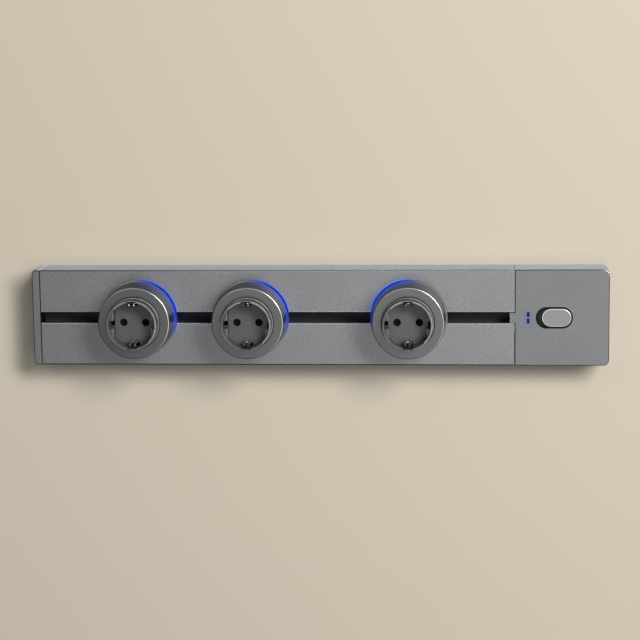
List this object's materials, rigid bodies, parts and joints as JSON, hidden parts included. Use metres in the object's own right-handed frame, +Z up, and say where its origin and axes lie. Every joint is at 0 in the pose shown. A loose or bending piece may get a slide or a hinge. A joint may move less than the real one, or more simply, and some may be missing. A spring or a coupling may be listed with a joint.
{
  "type": "power track socket",
  "caption": "Wall-mounted power track with round two-pin sockets that slide along its slot and turn to release, and a slide main switch at its right end.",
  "frame": {"origin": "middle of the face that lies on the wall", "axes": "+X along the track to the switch, +Y into the wall, +Z up"},
  "size_m": [0.5, 0.0775, 0.0834],
  "materials": {
    "anodised_aluminium": "sandblasted, grey anodised",
    "case_grey": "fine matte grey",
    "satin_knob": "satin",
    "socket_grey": "fine matte",
    "black_plastic": "matte",
    "guide_plastic": "matte",
    "copper": "bare copper strip",
    "spring_bronze": "bright spring bronze",
    "zinc_steel": "zinc plated",
    "board_green": "solder mask",
    "blue_light": "clear blue, lit from behind"
  },
  "bodies": {
    "track": {"rail_extrusion": "anodised_aluminium", "chamber_liner": "black_plastic", "conductor_live": "copper", "conductor_neutral": "copper", "conductor_earth": "copper", "end_cap": "case_grey", "wall_clip_left": "zinc_steel", "wall_clip_centre": "zinc_steel", "switch_housing": "case_grey", "switch_back_plate": "black_plastic", "switch_bezel": "black_plastic", "switch_body": "black_plastic", "indicator_guide": "blue_light", "control_board": "board_green", "terminal_block": "guide_plastic"},
    "main_switch": {"switch_knob": "satin_knob", "switch_carriage": "guide_plastic"},
    "glide_body_1": {"glide_1": "black_plastic", "light_ring_1": "blue_light"},
    "socket_body_1": {"cap_shell_1": "anodised_aluminium", "insert_1": "socket_grey", "earth_strap_1": "spring_bronze", "contact_live_1": "copper", "contact_neutral_1": "copper", "base_plate_1": "black_plastic", "track_foot_1": "black_plastic", "blade_live_1": "copper", "blade_neutral_1": "copper", "blade_earth_1": "copper", "foot_screw_1": "zinc_steel"},
    "shutter_body_1": {"shutter_1": "black_plastic"},
    "glide_body_2": {"glide_2": "black_plastic", "light_ring_2": "blue_light"},
    "socket_body_2": {"cap_shell_2": "anodised_aluminium", "insert_2": "socket_grey", "earth_strap_2": "spring_bronze", "contact_live_2": "copper", "contact_neutral_2": "copper", "base_plate_2": "black_plastic", "track_foot_2": "black_plastic", "blade_live_2": "copper", "blade_neutral_2": "copper", "blade_earth_2": "copper", "foot_screw_2": "zinc_steel"},
    "shutter_body_2": {"shutter_2": "black_plastic"},
    "glide_body_3": {"glide_3": "black_plastic", "light_ring_3": "blue_light"},
    "socket_body_3": {"cap_shell_3": "anodised_aluminium", "insert_3": "socket_grey", "earth_strap_3": "spring_bronze", "contact_live_3": "copper", "contact_neutral_3": "copper", "base_plate_3": "black_plastic", "track_foot_3": "black_plastic", "blade_live_3": "copper", "blade_neutral_3": "copper", "blade_earth_3": "copper", "foot_screw_3": "zinc_steel"},
    "shutter_body_3": {"shutter_3": "black_plastic"}
  },
  "joints": [
    {"name": "main_switch_slide", "type": "slide", "parent": "track", "child": "main_switch", "axis": [-1, 0, 0], "range_m": [0, 0.004]},
    {"name": "module_1_slide", "type": "slide", "parent": "track", "child": "glide_body_1", "axis": [1, 0, 0], "range_m": [-0.0532, 0.0153]},
    {"name": "module_1_twist", "type": "hinge", "parent": "glide_body_1", "child": "socket_body_1", "pos_m": [-0.156, -0.0335, 0], "axis": [0, -1, 0], "range_deg": [0, 90]},
    {"name": "module_1_shutter", "type": "hinge", "parent": "socket_body_1", "child": "shutter_body_1", "pos_m": [-0.156, -0.0335, 0], "axis": [0, -1, 0], "range_deg": [0, 42], "stiffness_Nm_per_rad": 0.01, "springref_deg": -11.46},
    {"name": "module_2_slide", "type": "slide", "parent": "track", "child": "glide_body_2", "axis": [1, 0, 0], "range_m": [-0.0153, 0.0349]},
    {"name": "module_2_twist", "type": "hinge", "parent": "glide_body_2", "child": "socket_body_2", "pos_m": [-0.0584, -0.0335, 0], "axis": [0, -1, 0], "range_deg": [0, 90]},
    {"name": "module_2_shutter", "type": "hinge", "parent": "socket_body_2", "child": "shutter_body_2", "pos_m": [-0.0584, -0.0335, 0], "axis": [0, -1, 0], "range_deg": [0, 42], "stiffness_Nm_per_rad": 0.01, "springref_deg": -11.46},
    {"name": "module_3_slide", "type": "slide", "parent": "track", "child": "glide_body_3", "axis": [1, 0, 0], "range_m": [-0.0349, 0.0571]},
    {"name": "module_3_twist", "type": "hinge", "parent": "glide_body_3", "child": "socket_body_3", "pos_m": [0.0784, -0.0335, 0], "axis": [0, -1, 0], "range_deg": [0, 90]},
    {"name": "module_3_shutter", "type": "hinge", "parent": "socket_body_3", "child": "shutter_body_3", "pos_m": [0.0784, -0.0335, 0], "axis": [0, -1, 0], "range_deg": [0, 42], "stiffness_Nm_per_rad": 0.01, "springref_deg": -11.46}
  ]
}
